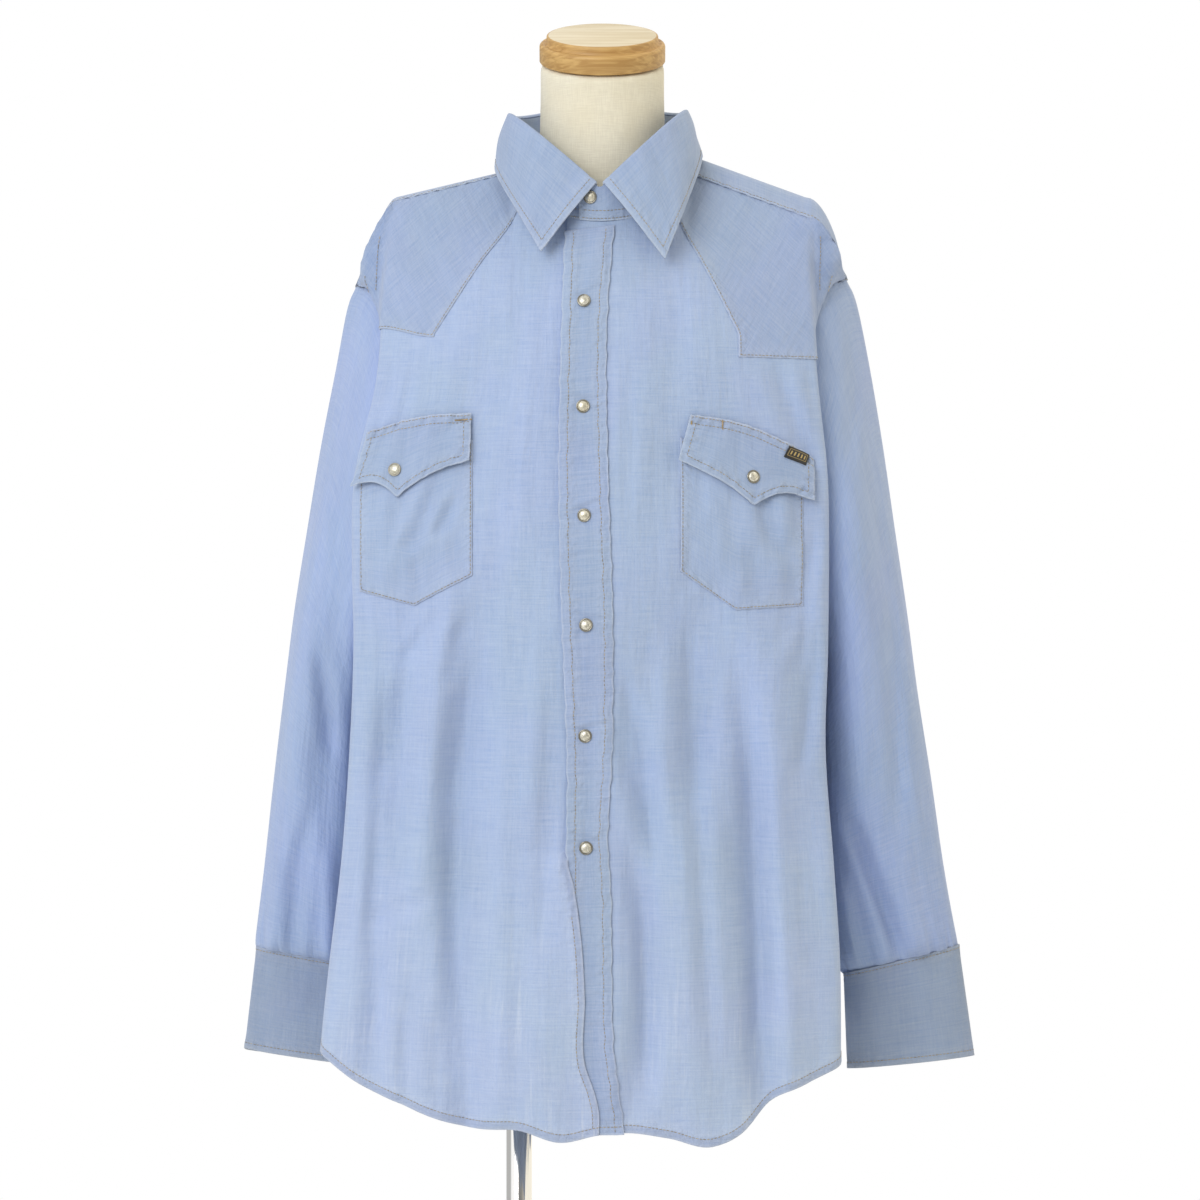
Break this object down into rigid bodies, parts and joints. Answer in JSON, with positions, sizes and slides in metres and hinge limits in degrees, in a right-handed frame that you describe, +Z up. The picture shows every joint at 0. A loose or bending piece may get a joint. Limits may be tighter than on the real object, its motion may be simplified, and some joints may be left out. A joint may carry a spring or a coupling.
{
  "type": "western shirt on dress form",
  "caption": "Long-sleeved western shirt with pointed yokes, flapped chest pockets and pearl snaps, worn by a limbless dress form on a pole and round base.",
  "frame": {"origin": "on the floor under the shirt's centre front line, in the plane of the stand plate's underside", "axes": "+Z up along the pole, -Y out of the shirt's front, +X towards the wearer's left"},
  "size_m": [0.6146, 0.34, 1.5082],
  "materials": {
    "chambray": "pale blue chambray, slubbed plain weave, one ply",
    "chambray_double": "the same chambray in two plies, a little darker",
    "chambray_cuff": "the same chambray, washed to a grey blue",
    "tab": "black woven tab, plain bars in gold thread",
    "pearl": "cream pearl cap in a thin bright ring",
    "linen": "off-white linen over padding",
    "wood": "honey-coloured, clear matt varnish",
    "chrome": "polished, slightly brushed"
  },
  "bodies": {
    "root": {"front_right": "chambray", "front_left": "chambray", "back": "chambray", "placket_band": "chambray", "sleeve_right": "chambray", "sleeve_left": "chambray", "sleeve_placket_right": "chambray", "sleeve_placket_left": "chambray", "pocket_right": "chambray", "pocket_left": "chambray", "yoke_front_right": "chambray_double", "yoke_front_left": "chambray_double", "yoke_back": "chambray_double", "collar_stand": "chambray_double", "collar": "chambray_double", "flap_right": "chambray_double", "flap_left": "chambray_double", "cuff_right": "chambray_cuff", "cuff_left": "chambray_cuff", "label_tab": "tab", "snap_stand": "pearl", "snap_front_1": "pearl", "snap_front_2": "pearl", "snap_front_3": "pearl", "snap_front_4": "pearl", "snap_front_5": "pearl", "snap_front_6": "pearl", "snap_pocket_right": "pearl", "snap_pocket_left": "pearl", "snap_cuff_right": "pearl", "snap_cuff_left": "pearl", "form_torso": "linen", "form_neck_cap": "wood", "form_pole": "chrome", "form_base": "chrome"}
  },
  "joints": []
}
